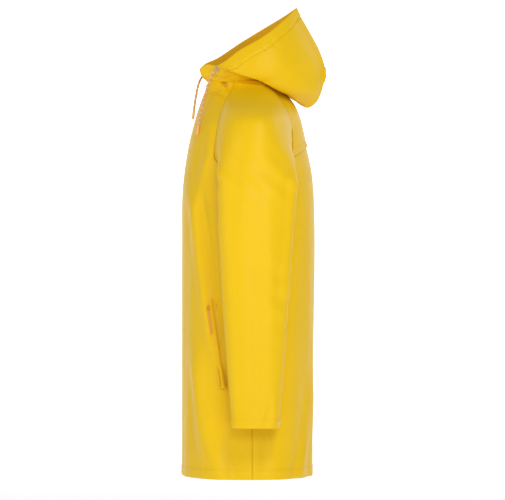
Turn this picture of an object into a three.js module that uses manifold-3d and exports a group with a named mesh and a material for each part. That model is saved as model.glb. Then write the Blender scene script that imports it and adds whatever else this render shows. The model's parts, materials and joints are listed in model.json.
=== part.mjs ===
// A hooded waterproof raincoat, hanging as worn: millimetres, +Z up, front towards -Y,
// the wearer's left towards +X. Heights below are measured from the hem; the finished
// group is shifted so that its origin is the hanger loop inside the nape.
import * as THREE from 'three';
import Module from 'manifold-3d';
import { mergeVertices } from 'three/addons/utils/BufferGeometryUtils.js';

// ---- driving dimensions -------------------------------------------------------------
const BODY_TOP = 916;            // neck seam height above the hem
const UNDERARM = 690;            // height at which the side seam ends
const FABRIC = 2.6;              // solid thickness that stands for the coated fabric
const SEAM_GAP = 1.1;            // half the clearance left along a sewn seam
const LAYER_GAP = 0.7;           // clearance between layers that lie on each other
const ZIP_HALF_GAP = 12;         // front edge of each front panel, from the centre line
const FRONT_Y = -151.5;          // foremost line of the body
const ZIP_ARC_RADIUS = 780;      // curve of the front zip over the chest
const ZIP_ARC_START = 608;       // height at which that curve begins
const ARM_PIVOT = { y: 26, z: 750 };
const ARM_CUT = 108;             // radius of the cut between shoulder and sleeve
const ARM_CLEARANCE = 4;
const CUFF_Z = 120;
const HANG_POINT = new THREE.Vector3(0, 50, 905);

// ---- looks --------------------------------------------------------------------------
const coated = new THREE.MeshStandardMaterial({ color: 0xf2ca32, roughness: 0.42, metalness: 0 });
const lining = new THREE.MeshStandardMaterial({ color: 0xe9b22a, roughness: 0.8, metalness: 0 });
const tape = new THREE.MeshStandardMaterial({ color: 0xe0a91c, roughness: 0.75, metalness: 0 });
const plastic = new THREE.MeshStandardMaterial({ color: 0xe4a81e, roughness: 0.35, metalness: 0 });
const braid = new THREE.MeshStandardMaterial({ color: 0xf6bd63, roughness: 0.7, metalness: 0 });
const steel = new THREE.MeshStandardMaterial({ color: 0xb9bbbd, roughness: 0.28, metalness: 1 });

const coat = new THREE.Group();

function place(name, geometry, material, parent = coat) {
  const mesh = new THREE.Mesh(geometry, material);
  mesh.name = name;
  parent.add(mesh);
  return mesh;
}

// ---- helpers ------------------------------------------------------------------------
// A smooth curve through [height, value] pairs that never overshoots them.
function profile(points) {
  const count = points.length;
  const slope = (i) => (points[i + 1][1] - points[i][1]) / (points[i + 1][0] - points[i][0]);
  const tangent = points.map((_, i) => {
    if (i === 0) return slope(0);
    if (i === count - 1) return slope(count - 2);
    const before = slope(i - 1);
    const after = slope(i);
    return before * after <= 0 ? 0 : (2 * before * after) / (before + after);
  });
  return (at) => {
    let i = 0;
    while (i < count - 2 && at > points[i + 1][0]) i += 1;
    const span = points[i + 1][0] - points[i][0];
    const t = THREE.MathUtils.clamp((at - points[i][0]) / span, 0, 1);
    const t2 = t * t;
    const t3 = t2 * t;
    return (2 * t3 - 3 * t2 + 1) * points[i][1] + (t3 - 2 * t2 + t) * span * tangent[i]
      + (3 * t2 - 2 * t3) * points[i + 1][1] + (t3 - t2) * span * tangent[i + 1];
  };
}

const signedPower = (value, power) => Math.sign(value) * Math.abs(value) ** power;
const lerp = THREE.MathUtils.lerp;

// The parameter of row k when rows lie at the given levels.
function stepped(levels) {
  const last = levels.length - 1;
  return (v) => {
    const at = THREE.MathUtils.clamp(v, 0, 1) * last;
    const k = Math.min(Math.floor(at), last - 1);
    return lerp(levels[k], levels[k + 1], at - k);
  };
}

// A closed solid of even thickness behind a surface(u, v) whose du x dv points outwards.
function sheet(surface, columns, rows, options = {}) {
  const { thickness = FABRIC, inset = 0, ring = false, level = true, leastX = -Infinity } = options;
  const nudge = 1e-3;
  const across = ring ? columns : columns + 1;
  const positions = [];
  const grid = (depth) => {
    for (let j = 0; j <= rows; j += 1) {
      for (let i = 0; i < across; i += 1) {
        const u = i / columns;
        const v = j / rows;
        const here = surface(u, v);
        const wrap = (x) => (ring ? x : THREE.MathUtils.clamp(x, 0, 1));
        const along = surface(wrap(u + nudge), v).sub(surface(wrap(u - nudge), v));
        const up = surface(u, Math.min(v + nudge, 1)).sub(surface(u, Math.max(v - nudge, 0)));
        const normal = along.cross(up).normalize();
        if (level && (j === 0 || j === rows)) normal.setZ(0).normalize();
        here.addScaledVector(normal, -(inset + depth));
        positions.push(Math.max(here.x, leastX), here.y, here.z);
      }
    }
  };
  grid(0);
  grid(thickness);
  const layer = across * (rows + 1);
  const at = (i, j, side) => side * layer + j * across + (i % across);
  const index = [];
  const quad = (a, b, c, d) => index.push(a, b, c, a, c, d);
  for (let j = 0; j < rows; j += 1) {
    for (let i = 0; i < columns; i += 1) {
      quad(at(i, j, 0), at(i + 1, j, 0), at(i + 1, j + 1, 0), at(i, j + 1, 0));
      quad(at(i, j + 1, 1), at(i + 1, j + 1, 1), at(i + 1, j, 1), at(i, j, 1));
    }
  }
  for (let i = 0; i < columns; i += 1) {
    quad(at(i + 1, 0, 0), at(i, 0, 0), at(i, 0, 1), at(i + 1, 0, 1));
    quad(at(i, rows, 0), at(i + 1, rows, 0), at(i + 1, rows, 1), at(i, rows, 1));
  }
  for (let j = 0; j < rows && !ring; j += 1) {
    quad(at(0, j, 0), at(0, j + 1, 0), at(0, j + 1, 1), at(0, j, 1));
    quad(at(columns, j + 1, 0), at(columns, j, 0), at(columns, j, 1), at(columns, j + 1, 1));
  }
  const geometry = new THREE.BufferGeometry();
  geometry.setAttribute('position', new THREE.Float32BufferAttribute(positions, 3));
  geometry.setIndex(index);
  geometry.computeVertexNormals();
  return geometry;
}

// The same piece for the wearer's right side.
function mirrored(geometry) {
  const copy = geometry.clone();
  const position = copy.getAttribute('position');
  for (let i = 0; i < position.count; i += 1) position.setX(i, -position.getX(i));
  if (!copy.index) copy.setIndex([...Array(position.count).keys()]);
  const index = copy.index.array;
  for (let i = 0; i < index.length; i += 3) [index[i], index[i + 1]] = [index[i + 1], index[i]];
  copy.computeVertexNormals();
  return copy;
}

// One solid made of several that overlap.
const wasm = await Module();
wasm.setup();
function solidOf(geometry) {
  const bare = geometry.clone();
  bare.deleteAttribute('normal');
  bare.deleteAttribute('uv');
  const merged = mergeVertices(bare, 1e-4);
  return new wasm.Manifold(new wasm.Mesh({
    numProp: 3,
    vertProperties: new Float32Array(merged.attributes.position.array),
    triVerts: new Uint32Array(merged.index.array),
  }));
}
function geometryOf(solid) {
  const mesh = solid.getMesh();
  const geometry = new THREE.BufferGeometry();
  geometry.setAttribute('position', new THREE.Float32BufferAttribute(mesh.vertProperties, 3));
  geometry.setIndex([...mesh.triVerts]);
  geometry.computeVertexNormals();
  return geometry;
}
const joined = (...pieces) => geometryOf(pieces.map(solidOf).reduce((whole, piece) => whole.add(piece)));
const within = (piece, cutter) => geometryOf(solidOf(piece).intersect(solidOf(cutter)));
const outside = (piece, cutter) => geometryOf(solidOf(piece).subtract(solidOf(cutter)));

function pair(name, geometry, material) {
  place(`left_${name}`, geometry, material);
  place(`right_${name}`, mirrored(geometry), material);
}

// ---- the body's surface -------------------------------------------------------------
function frontLine(z) {
  const rise = Math.max(z - ZIP_ARC_START, 0);
  return FRONT_Y + ZIP_ARC_RADIUS - Math.sqrt(ZIP_ARC_RADIUS ** 2 - rise ** 2);
}
const backLine = profile([[0, 152], [300, 155], [540, 158], [640, 156], [700, 151], [740, 143],
  [777, 134], [824, 123], [852, 112], [870, 100], [885, 87], [900, 76], [BODY_TOP, 69]]);
const halfWidth = profile([[0, 245], [300, 228], [600, 214], [UNDERARM, 211], [735, 209],
  [801, 203], [834, 172], [863, 127], [883, 96], [900, 75], [BODY_TOP, 66]]);
const roundness = profile([[0, 2.35], [600, 2.3], [780, 1.95], [BODY_TOP, 2.1]]);

function section(z) {
  const front = frontLine(z);
  const back = backLine(z);
  return {
    half: halfWidth(z), middle: (front + back) / 2, depth: (back - front) / 2, power: 2 / roundness(z),
  };
}

// theta is 0 at the centre front, 90 degrees at the wearer's left and 180 at the back.
function bodyPoint(theta, z) {
  const s = section(z);
  const x = s.half * signedPower(Math.sin(theta), s.power);
  const y = s.middle - s.depth * signedPower(Math.cos(theta), s.power);
  return new THREE.Vector3(x, y, z);
}
function thetaAtX(x, z) {
  const s = section(z);
  return Math.asin((x / s.half) ** (1 / s.power));
}
function thetaAtY(y, z) {
  const s = section(z);
  const ratio = THREE.MathUtils.clamp((s.middle - y) / s.depth, -1, 1);
  return Math.acos(signedPower(ratio, 1 / s.power));
}

const SIDE_SEAM_Y = 13;
const frontSeam = profile([[UNDERARM, SIDE_SEAM_Y], [702, -36], [716, -62], [735, -75], [760, -73],
  [801, -66], [834, -59], [863, -48], [883, -39], [900, -31], [BODY_TOP, -27]]);
const backSeam = profile([[UNDERARM, SIDE_SEAM_Y], [702, 62], [716, 90], [735, 101], [760, 104],
  [801, 102], [834, 95], [863, 81], [883, 68], [900, 56], [BODY_TOP, 47]]);
const sideSeam = (seam, z) => (z < UNDERARM ? SIDE_SEAM_Y : seam(z));
const bodyLevels = [0, 170, 340, 500, 608, 650, 690, 703, 718, 736, 762, 790, 815, 838, 860, 880, 897, BODY_TOP];
const bodyHeight = stepped(bodyLevels);
const gapAngle = (z) => SEAM_GAP / section(z).depth;

function frontPanelPoint(u, v) {
  const z = bodyHeight(v);
  const start = thetaAtX(ZIP_HALF_GAP, z);
  const end = thetaAtY(sideSeam(frontSeam, z), z) - gapAngle(z);
  return bodyPoint(lerp(start, end, u), z);
}
function backPanelPoint(u, v) {
  const z = bodyHeight(v);
  const start = thetaAtY(sideSeam(backSeam, z), z) + gapAngle(z);
  return bodyPoint(lerp(start, 2 * Math.PI - start, u), z);
}
pair('front_panel', sheet(frontPanelPoint, 12, bodyLevels.length - 1), coated);
place('back_panel', sheet(backPanelPoint, 20, bodyLevels.length - 1), coated);

// The back yoke is a second layer over the shoulder blades, open along its lower edge.
const YOKE_EDGE_SIDE = 733;
const YOKE_EDGE_CENTRE = 762;
const YOKE_TOP = 896;
const YOKE_GAP = 1.8;
function yokePoint(u, v) {
  const lower = lerp(YOKE_EDGE_SIDE, YOKE_EDGE_CENTRE, Math.sin(Math.PI * u));
  const z = lerp(lower, YOKE_TOP, v);
  const start = thetaAtY(backSeam(z), z) + 2 * gapAngle(z);
  return bodyPoint(lerp(start, 2 * Math.PI - start, u), z);
}
place('back_yoke', sheet(yokePoint, 16, 7, { inset: -(FABRIC + YOKE_GAP), level: false }), coated);

// A turned-up hem inside the lower edge, in three lengths that end at the seams.
const HEM_DEPTH = 24;
const hemLayer = { thickness: 1.6, inset: FABRIC + LAYER_GAP };
function hemPoint(from, to) {
  return (u, v) => bodyPoint(lerp(from, to, u), v * HEM_DEPTH);
}
const sideTheta = thetaAtY(SIDE_SEAM_Y, 0);
const hemFront = hemPoint(thetaAtX(ZIP_HALF_GAP + 14, 0), sideTheta - 0.02);
pair('front_hem_facing', sheet(hemFront, 10, 1, hemLayer), lining);
const hemBack = hemPoint(sideTheta + 0.02, 2 * Math.PI - sideTheta - 0.02);
place('back_hem_facing', sheet(hemBack, 20, 1, hemLayer), lining);

// ---- raglan shoulders and sleeves ---------------------------------------------------
// The sleeve hangs in its own slab beside the body, so that it can swing fore and aft.
const armCentreX = profile([[CUFF_Z, 291], [300, 286], [500, 280], [700, 276], [BODY_TOP, 276]]);
const armHalfX = profile([[CUFF_Z, 37], [300, 42], [500, 47], [700, 50], [BODY_TOP, 50]]);
const armFrontY = profile([[CUFF_Z, -33], [264, -45], [453, -58], [620, -67], [700, -70], [800, -70]]);
const armBackY = profile([[CUFF_Z, 72], [217, 81], [311, 88], [453, 97], [580, 106], [640, 115],
  [700, 120], [800, 120]]);
const ARM_POWER = 0.9;

function armPoint(theta, z) {
  const front = armFrontY(z);
  const back = armBackY(z);
  const x = armCentreX(z) + armHalfX(z) * signedPower(Math.sin(theta), ARM_POWER);
  const y = (front + back) / 2 - ((back - front) / 2) * signedPower(Math.cos(theta), ARM_POWER);
  return new THREE.Vector3(x, y, z);
}
// The height at which a cylinder about the shoulder pivot cuts the sleeve's wall.
function armCutHeight(theta, radius) {
  let z = UNDERARM;
  for (let pass = 0; pass < 4; pass += 1) {
    const reach = armPoint(theta, z).y - ARM_PIVOT.y;
    z = ARM_PIVOT.z - Math.sqrt(radius ** 2 - reach ** 2);
  }
  return z;
}
function sleevePoint(u, v) {
  const theta = u * 2 * Math.PI;
  const top = armCutHeight(theta, ARM_CUT + ARM_CLEARANCE);
  return armPoint(theta, lerp(CUFF_Z, top, v));
}
pair('sleeve', sheet(sleevePoint, 28, 10, { ring: true }), coated);
const CUFF_DEPTH = 22;
const cuffPoint = (u, v) => armPoint(u * 2 * Math.PI, CUFF_Z + v * CUFF_DEPTH);
pair('cuff_facing', sheet(cuffPoint, 28, 1, { ...hemLayer, ring: true }), lining);

// The shoulder runs over the top from the front seam to the back seam, and down to the cut.
const shoulderLine = new THREE.CatmullRomCurve3([[326, 26, 690], [326, 26, 735], [320, 26, 775],
  [298, 27, 815], [258, 27, 842], [205, 28, 861], [150, 28, 879], [105, 28, 895], [76, 28, BODY_TOP - 3],
].map((p) => new THREE.Vector3(...p)));
const CAP_CORNER = THREE.MathUtils.degToRad(42);   // where the cut meets each seam
const CAP_BOTTOM = 0.16;                           // stretch that turns from sleeve to seam

function seamPoint(seam, z, outward) {
  return bodyPoint(thetaAtY(seam(z), z) + outward * gapAngle(z), z);
}
function capRib(t, u) {
  const z = lerp(UNDERARM + 12, BODY_TOP, t ** 0.8);
  const front = seamPoint(frontSeam, z, 1);
  const back = seamPoint(backSeam, z, -1);
  const top = shoulderLine.getPoint(t);
  const foot = u < 0.5 ? front : back;
  const turn = (u < 0.5 ? u : 1 - u) * Math.PI;
  const lift = Math.sin(turn);
  const side = Math.cos(turn);
  return new THREE.Vector3(
    lerp(foot.x, top.x, lift),
    lerp(top.y, foot.y, side),
    lerp(foot.z, top.z, lift),
  );
}
function shoulderPoint(u, v) {
  const theta = lerp(CAP_CORNER, Math.PI - CAP_CORNER, u);
  const spread = lerp(-CAP_CORNER, Math.PI + CAP_CORNER, u);
  const onSleeve = armPoint(spread, armCutHeight(spread, ARM_CUT));
  const rib = capRib(v, u);
  const blend = THREE.MathUtils.smoothstep(v, 0, CAP_BOTTOM + 0.2 * Math.sin(theta));
  return onSleeve.lerp(rib, blend);
}
pair('shoulder', sheet(shoulderPoint, 20, 12, { level: false }), coated);

// Where a piece sits on a surface: its point and its outward normal.
function frameOn(surface, u, v) {
  const nudge = 1e-3;
  const point = surface(u, v);
  const along = surface(u + nudge, v).sub(surface(u - nudge, v));
  const up = surface(u, v + nudge).sub(surface(u, v - nudge));
  return { point, normal: along.cross(up).normalize() };
}
// A turned piece whose axis is its own +Y, set on a surface at the given height above it.
function turned(outline, spot, height, segments = 16) {
  const geometry = new THREE.LatheGeometry(outline.map((p) => new THREE.Vector2(...p)), segments);
  const turn = new THREE.Quaternion().setFromUnitVectors(new THREE.Vector3(0, 1, 0), spot.normal);
  geometry.applyQuaternion(turn);
  const at = spot.point.clone().addScaledVector(spot.normal, height);
  return geometry.translate(at.x, at.y, at.z);
}

// ---- cuff snaps ---------------------------------------------------------------------
const SNAP_TURN = 0.445;                           // round the cuff from its front edge
const SNAP_RISE = 0.023;
const snapSpot = frameOn(sleevePoint, SNAP_TURN, SNAP_RISE);
const snapCap = [[0, 0], [6.5, 0], [6.4, 0.8], [4.6, 1.9], [0, 2.3]];
const snapStud = [[0, 0], [4.8, 0], [4.8, 0.9], [2.4, 1], [2.2, 2.4], [0, 2.4]];
pair('cuff_snap_cap', turned(snapCap, snapSpot, LAYER_GAP), steel);
const insideCuff = FABRIC + hemLayer.thickness + 2 * LAYER_GAP + 2.4 + 0.6;
pair('cuff_snap_stud', turned(snapStud, snapSpot, -insideCuff), steel);

// ---- front zip ----------------------------------------------------------------------
const ZIP_BOTTOM = 8;
const ZIP_TOP = 911;
const zipLevels = [ZIP_BOTTOM, 200, 400, ZIP_ARC_START, 650, 690, 730, 770, 810, 845, 880, ZIP_TOP];
const zipHeight = stepped(zipLevels);
function frontStrip(from, to) {
  return (u, v) => {
    const z = zipHeight(v);
    const x = lerp(from, to, u);
    const point = bodyPoint(thetaAtX(Math.abs(x), z), z);
    return point.setX(x);
  };
}
const zipRows = zipLevels.length - 1;
const TEETH_HALF = 1.7;
pair('zip_tape', sheet(frontStrip(TEETH_HALF + 0.4, 22), 4, zipRows,
  { thickness: 0.9, inset: FABRIC + LAYER_GAP + 0.3, level: false }), tape);
place('zip_teeth', sheet(frontStrip(-TEETH_HALF, TEETH_HALF), 1, zipRows,
  { thickness: 2.2, inset: 2.4, level: false }), plastic);
place('wind_flap', sheet(frontStrip(-23.5, 23.5), 8, zipRows,
  { thickness: 1.2, inset: FABRIC + 0.9 + 2.6 * LAYER_GAP }), lining);

// The slider, its bridge and its pull, in the slider's own frame: +Z up the zip, -Y outwards.
function sliderBody(width, length, depth) {
  const outline = new THREE.Shape();
  outline.moveTo(-width * 0.36, -length / 2);
  outline.lineTo(width * 0.36, -length / 2);
  outline.lineTo(width / 2, length * 0.1);
  outline.lineTo(width * 0.42, length / 2);
  outline.lineTo(-width * 0.42, length / 2);
  outline.lineTo(-width / 2, length * 0.1);
  const plate = new THREE.ExtrudeGeometry(outline, { depth, bevelEnabled: false });
  plate.rotateX(Math.PI / 2);
  const arch = new THREE.Shape();
  arch.absarc(0, 0, BRIDGE_OUTER, 0, Math.PI, false);
  arch.lineTo(-BRIDGE_OUTER, -1);
  arch.lineTo(-BRIDGE_INNER, -1);
  arch.absarc(0, 0, BRIDGE_INNER, Math.PI, 0, true);
  arch.lineTo(BRIDGE_INNER, -1);
  arch.lineTo(BRIDGE_OUTER, -1);
  const bridge = new THREE.ExtrudeGeometry(arch, {
    depth: BRIDGE_WIDTH, bevelEnabled: false, curveSegments: 8,
  });
  bridge.translate(0, 0, -BRIDGE_WIDTH / 2).rotateY(Math.PI / 2).rotateX(Math.PI);
  bridge.translate(0, -depth, 0);
  return joined(plate, bridge);
}
const BRIDGE_OUTER = 4;
const BRIDGE_INNER = 2.4;
const BRIDGE_WIDTH = 2.2;
const PULL_EYE = 0.8;            // half-thickness of the bar that the bridge holds

function pullTab(width, length, thickness) {
  const outline = new THREE.Shape();
  outline.moveTo(-width / 2, PULL_EYE);
  outline.lineTo(-width * 0.36, PULL_EYE - length);
  outline.lineTo(width * 0.36, PULL_EYE - length);
  outline.lineTo(width / 2, PULL_EYE);
  const window = new THREE.Path();
  const side = BRIDGE_WIDTH / 2 + 0.5;
  window.moveTo(-side, -PULL_EYE);
  window.lineTo(side, -PULL_EYE);
  window.lineTo(side, -PULL_EYE - 5);
  window.lineTo(-side, -PULL_EYE - 5);
  outline.holes.push(window);
  const geometry = new THREE.ExtrudeGeometry(outline, { depth: thickness, bevelEnabled: false });
  return geometry.translate(0, 0, -thickness / 2).rotateX(Math.PI / 2);
}
const SLIDER = { width: 9, length: 14, depth: 3.2 };
const SLIDER_Z = 902;
const SLIDER_CLEARANCE = 0.45;   // between the slider and the teeth
const zipTilt = Math.asin((SLIDER_Z - ZIP_ARC_START) / ZIP_ARC_RADIUS);
const zipSlider = new THREE.Group();
const sliderRadius = ZIP_ARC_RADIUS - 2.4 + SLIDER_CLEARANCE;
zipSlider.position.set(0, FRONT_Y + ZIP_ARC_RADIUS - sliderRadius * Math.cos(zipTilt),
  ZIP_ARC_START + sliderRadius * Math.sin(zipTilt));
zipSlider.rotation.x = -zipTilt;
coat.add(zipSlider);
place('zip_slider', sliderBody(SLIDER.width, SLIDER.length, SLIDER.depth), steel, zipSlider);
const PULL_SWING = THREE.MathUtils.degToRad(-22);  // how far the pull stands off the zip
const zipPull = new THREE.Group();
zipPull.position.set(0, -SLIDER.depth - BRIDGE_INNER / 2, 0);
zipPull.rotation.x = PULL_SWING;
zipSlider.add(zipPull);
place('zip_pull', pullTab(7.5, 36, 1.4), plastic, zipPull);
const BOX_HEIGHT = 11;
const zipBox = new THREE.BoxGeometry(8.4, 2.2, BOX_HEIGHT);
zipBox.translate(0, FRONT_Y + 0.4, ZIP_BOTTOM + BOX_HEIGHT / 2 + 1);
place('zip_bottom_box', zipBox, steel);

// ---- slanted hand pockets -----------------------------------------------------------
const POCKET_TOP_Z = 402;
const POCKET_BOTTOM_Z = 212;
const POCKET_TOP_Y = -87;
const POCKET_BOTTOM_Y = -58;
const pocketTop = bodyPoint(thetaAtY(POCKET_TOP_Y, POCKET_TOP_Z), POCKET_TOP_Z);
const pocketBottom = bodyPoint(thetaAtY(POCKET_BOTTOM_Y, POCKET_BOTTOM_Z), POCKET_BOTTOM_Z);
const pocketLength = pocketTop.distanceTo(pocketBottom);
const pocketMiddle = (POCKET_TOP_Z + POCKET_BOTTOM_Z) / 2;
const pocketTheta = thetaAtY((POCKET_TOP_Y + POCKET_BOTTOM_Y) / 2, pocketMiddle);
const pocketOut = frameOn((u, v) => bodyPoint(u, v), pocketTheta, pocketMiddle).normal;
// Local axes of the mouth: +Z up along it, -Y out of the coat, +X across it.
const mouthUp = pocketTop.clone().sub(pocketBottom).normalize();
const mouthOut = pocketOut.clone().addScaledVector(mouthUp, -pocketOut.dot(mouthUp)).normalize();
const mouthAcross = mouthUp.clone().cross(mouthOut);
const mouthFrame = new THREE.Matrix4().makeBasis(mouthAcross, mouthOut.clone().negate(), mouthUp);
const mouthTurn = new THREE.Quaternion().setFromRotationMatrix(mouthFrame);
const mouthCentre = bodyPoint(pocketTheta, pocketMiddle);

const WELT = { width: 20, depth: 1.2, extra: 14, lift: 1.1 };
const POCKET_ZIP = { width: 3.4, depth: 1.4 };
const POCKET_SLIDER = { width: 7.5, length: 11, depth: 2.4 };
const SLIDER_TOP_MARGIN = 12;
const PULLER = { radius: 1.7, length: 56 };

function pocketPiece(geometry, away, along = 0) {
  geometry.translate(0, -away, along);
  geometry.applyQuaternion(mouthTurn);
  return geometry.translate(mouthCentre.x, mouthCentre.y, mouthCentre.z);
}
// Each stands its own depth proud of the piece below it.
const weltTop = WELT.lift + WELT.depth;
const zipBase = weltTop + 0.4;
const welt = new THREE.BoxGeometry(WELT.width, WELT.depth, pocketLength + WELT.extra);
pair('pocket_welt', pocketPiece(welt, WELT.lift + WELT.depth / 2), coated);
const pocketTeeth = new THREE.BoxGeometry(POCKET_ZIP.width, POCKET_ZIP.depth, pocketLength);
pair('pocket_zip', pocketPiece(pocketTeeth, zipBase + POCKET_ZIP.depth / 2), plastic);
const sliderAlong = pocketLength / 2 - SLIDER_TOP_MARGIN;
const sliderBase = zipBase + POCKET_ZIP.depth + 0.4;
const pocketSlider = sliderBody(POCKET_SLIDER.width, POCKET_SLIDER.length, POCKET_SLIDER.depth);
pair('pocket_slider', pocketPiece(pocketSlider, sliderBase, sliderAlong), plastic);

// The cord puller hangs from the slider's bridge by a flat eye.
function cordPuller({ radius, length }) {
  const eye = pullTab(6.4, 9, 1.4);
  const rod = new THREE.CapsuleGeometry(radius, length - 2 * radius, 3, 8);
  rod.rotateX(Math.PI / 2).translate(0, 0, -6.8 - length / 2);
  return joined(eye, rod);
}
const pullerAway = sliderBase + POCKET_SLIDER.depth + BRIDGE_INNER / 2;
pair('pocket_puller', pocketPiece(cordPuller(PULLER), pullerAway, sliderAlong), braid);

// A flat pocket bag hangs inside the front, behind the mouth.
const BAG_TOP = 398;
const BAG_BOTTOM = 196;
const BAG_THETA = [0.62, 1.12];
const bagPoint = (u, v) => bodyPoint(lerp(...BAG_THETA, u), lerp(BAG_BOTTOM, BAG_TOP, v));
pair('pocket_bag', sheet(bagPoint, 5, 3, { thickness: 2.4, inset: FABRIC + 2.4 }), lining);

// ---- hood ---------------------------------------------------------------------------
// Each half spans four edges: the face opening, the neck seam, and the centre seam in two
// lengths, over the crown and down behind the neck.
const HOOD_FULLNESS = 34;
const HOOD_SPLIT = 0.5;          // half the clearance along the centre seam
const curveThrough = (points) => new THREE.CatmullRomCurve3(
  points.map((p) => new THREE.Vector3(...p)), false, 'centripetal');
const hoodCrown = curveThrough([[HOOD_SPLIT, 117, 1087], [HOOD_SPLIT, 130, 1060],
  [HOOD_SPLIT, 151, 1022], [HOOD_SPLIT, 169, 988], [HOOD_SPLIT, 180, 956], [HOOD_SPLIT, 184, 926]]);
const hoodNape = curveThrough([[HOOD_SPLIT, 76, 921], [HOOD_SPLIT, 96, 893], [HOOD_SPLIT, 120, 862],
  [HOOD_SPLIT, 142, 852], [HOOD_SPLIT, 164, 868], [HOOD_SPLIT, 184, 926]]);
const hoodNeck = curveThrough([[24, -103, 922], [62, -62, 921], [80, -12, 920], [80, 30, 920],
  [52, 62, 921], [HOOD_SPLIT, 76, 921]]);
// The face opening droops a little further on the wearer's left.
const faceEdges = {
  left: curveThrough([[24, -103, 922], [27, -109, 940], [46, -96, 950], [68, -66, 949],
    [90, -16, 982], [90, 36, 1012], [56, 84, 1052], [HOOD_SPLIT, 117, 1087]]),
  right: curveThrough([[24, -103, 922], [27, -109, 941], [44, -99, 956], [64, -70, 971],
    [86, -16, 1008], [84, 36, 1040], [48, 84, 1067], [HOOD_SPLIT, 117, 1087]]),
};
function hoodPoint(edge) {
  const cornerA = edge.getPoint(0);
  const cornerB = hoodNeck.getPoint(1);
  const cornerC = edge.getPoint(1);
  const cornerD = hoodCrown.getPoint(1);
  return (s, t) => {
    const point = new THREE.Vector3();
    const add = (vector, weight) => point.addScaledVector(vector, weight);
    add(edge.getPoint(t), 1 - s);
    add(hoodNape.getPoint(t), s);
    add(hoodNeck.getPoint(s), 1 - t);
    add(hoodCrown.getPoint(s), t);
    add(cornerA, -(1 - s) * (1 - t));
    add(cornerB, -s * (1 - t));
    add(cornerC, -(1 - s) * t);
    add(cornerD, -s * t);
    point.x += HOOD_FULLNESS * 16 * s * (1 - s) * t * (1 - t);
    return point;
  };
}
const leftHood = hoodPoint(faceEdges.left);
const rightHood = hoodPoint(faceEdges.right);
const hoodSheet = (surface) => sheet(surface, 16, 16, { level: false, leastX: HOOD_SPLIT });
// The hood turns about a line across the throat; the chin below it stays with the coat.
const HOOD_PIVOT = { y: -78, z: 921 };
const CHIN_RADIUS = 36;
const CHIN_CLEARANCE = 2;
const THROAT_SIDES = 40;
function throatCylinder(radius) {
  const cylinder = new THREE.CylinderGeometry(radius, radius, 400, THROAT_SIDES);
  return cylinder.rotateZ(Math.PI / 2).translate(0, HOOD_PIVOT.y, HOOD_PIVOT.z);
}
const chinCutter = throatCylinder(CHIN_RADIUS);
const crownCutter = throatCylinder(CHIN_RADIUS + CHIN_CLEARANCE);
place('hood_left', outside(hoodSheet(leftHood), crownCutter), coated);
place('hood_right', mirrored(outside(hoodSheet(rightHood), crownCutter)), coated);
place('chin_left', within(hoodSheet(leftHood), chinCutter), coated);
place('chin_right', mirrored(within(hoodSheet(rightHood), chinCutter)), coated);

// The drawcord runs in a tunnel behind the face opening.
const TUNNEL = { from: 0.02, to: 0.15, start: 0.45, end: 0.94 };
function tunnelSheet(surface) {
  const point = (u, v) => surface(lerp(TUNNEL.from, TUNNEL.to, u), lerp(TUNNEL.start, TUNNEL.end, v));
  return sheet(point, 3, 16, { thickness: 1.2, inset: FABRIC + 1.3, level: false });
}
place('hood_tunnel_left', outside(tunnelSheet(leftHood), crownCutter), lining);
place('hood_tunnel_right', mirrored(outside(tunnelSheet(rightHood), crownCutter)), lining);

// ---- eyelets and drawcord -----------------------------------------------------------
const CORD_RADIUS = 2.7;
const EYELET_SPOT = [0.14, 0.26];
const eyeletRing = [[3.4, 0], [6, 0], [6, 0.7], [4.9, 1.5], [3.9, 1.5], [3.4, 0.9], [3.4, 0]];
const leftEyelet = frameOn(leftHood, ...EYELET_SPOT);
const rightEyelet = frameOn(rightHood, ...EYELET_SPOT);
place('eyelet_left', turned(eyeletRing, leftEyelet, LAYER_GAP), steel);
place('eyelet_right', mirrored(turned(eyeletRing, rightEyelet, LAYER_GAP)), steel);

// Each free end leaves its eyelet, bends down over the neck and hangs in front of the chest.
const leftRoute = [[73.2, -69.8, 939.9], [75.2, -71.8, 938.9], [77.8, -74.4, 936.9],
  [79.5, -76.6, 933.8], [80.4, -78.3, 929.8], [80.8, -80.8, 923.4], [81.1, -84.6, 914],
  [81.6, -89, 903], [82.4, -93.2, 890.5], [83.8, -97, 877], [86, -100.4, 862.5],
  [89.2, -103.4, 848.5], [93, -106.4, 834.5], [96.9, -109.3, 821], [99.8, -111.2, 809.5]];
const rightRoute = [[71.8, -71.9, 944], [73.2, -73.2, 943.6], [75.9, -77.4, 942.3],
  [76.4, -82.1, 940.8], [74.6, -86.7, 939.3], [70.4, -92.9, 937], [65.4, -99, 933.4],
  [60.6, -104.4, 928.4], [56.4, -109, 921.4], [53, -112.7, 912.4], [50.3, -115.7, 901.6],
  [48.2, -118.2, 889.8], [46.7, -120.4, 877], [45.7, -122.3, 864.2], [45.1, -123.8, 852]];
const CORD_SIDES = 10;
const CORD_STEP = 8;
const TIP = { radius: 3.1, end: 3.4, length: 25, gap: 0.4 };

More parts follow.
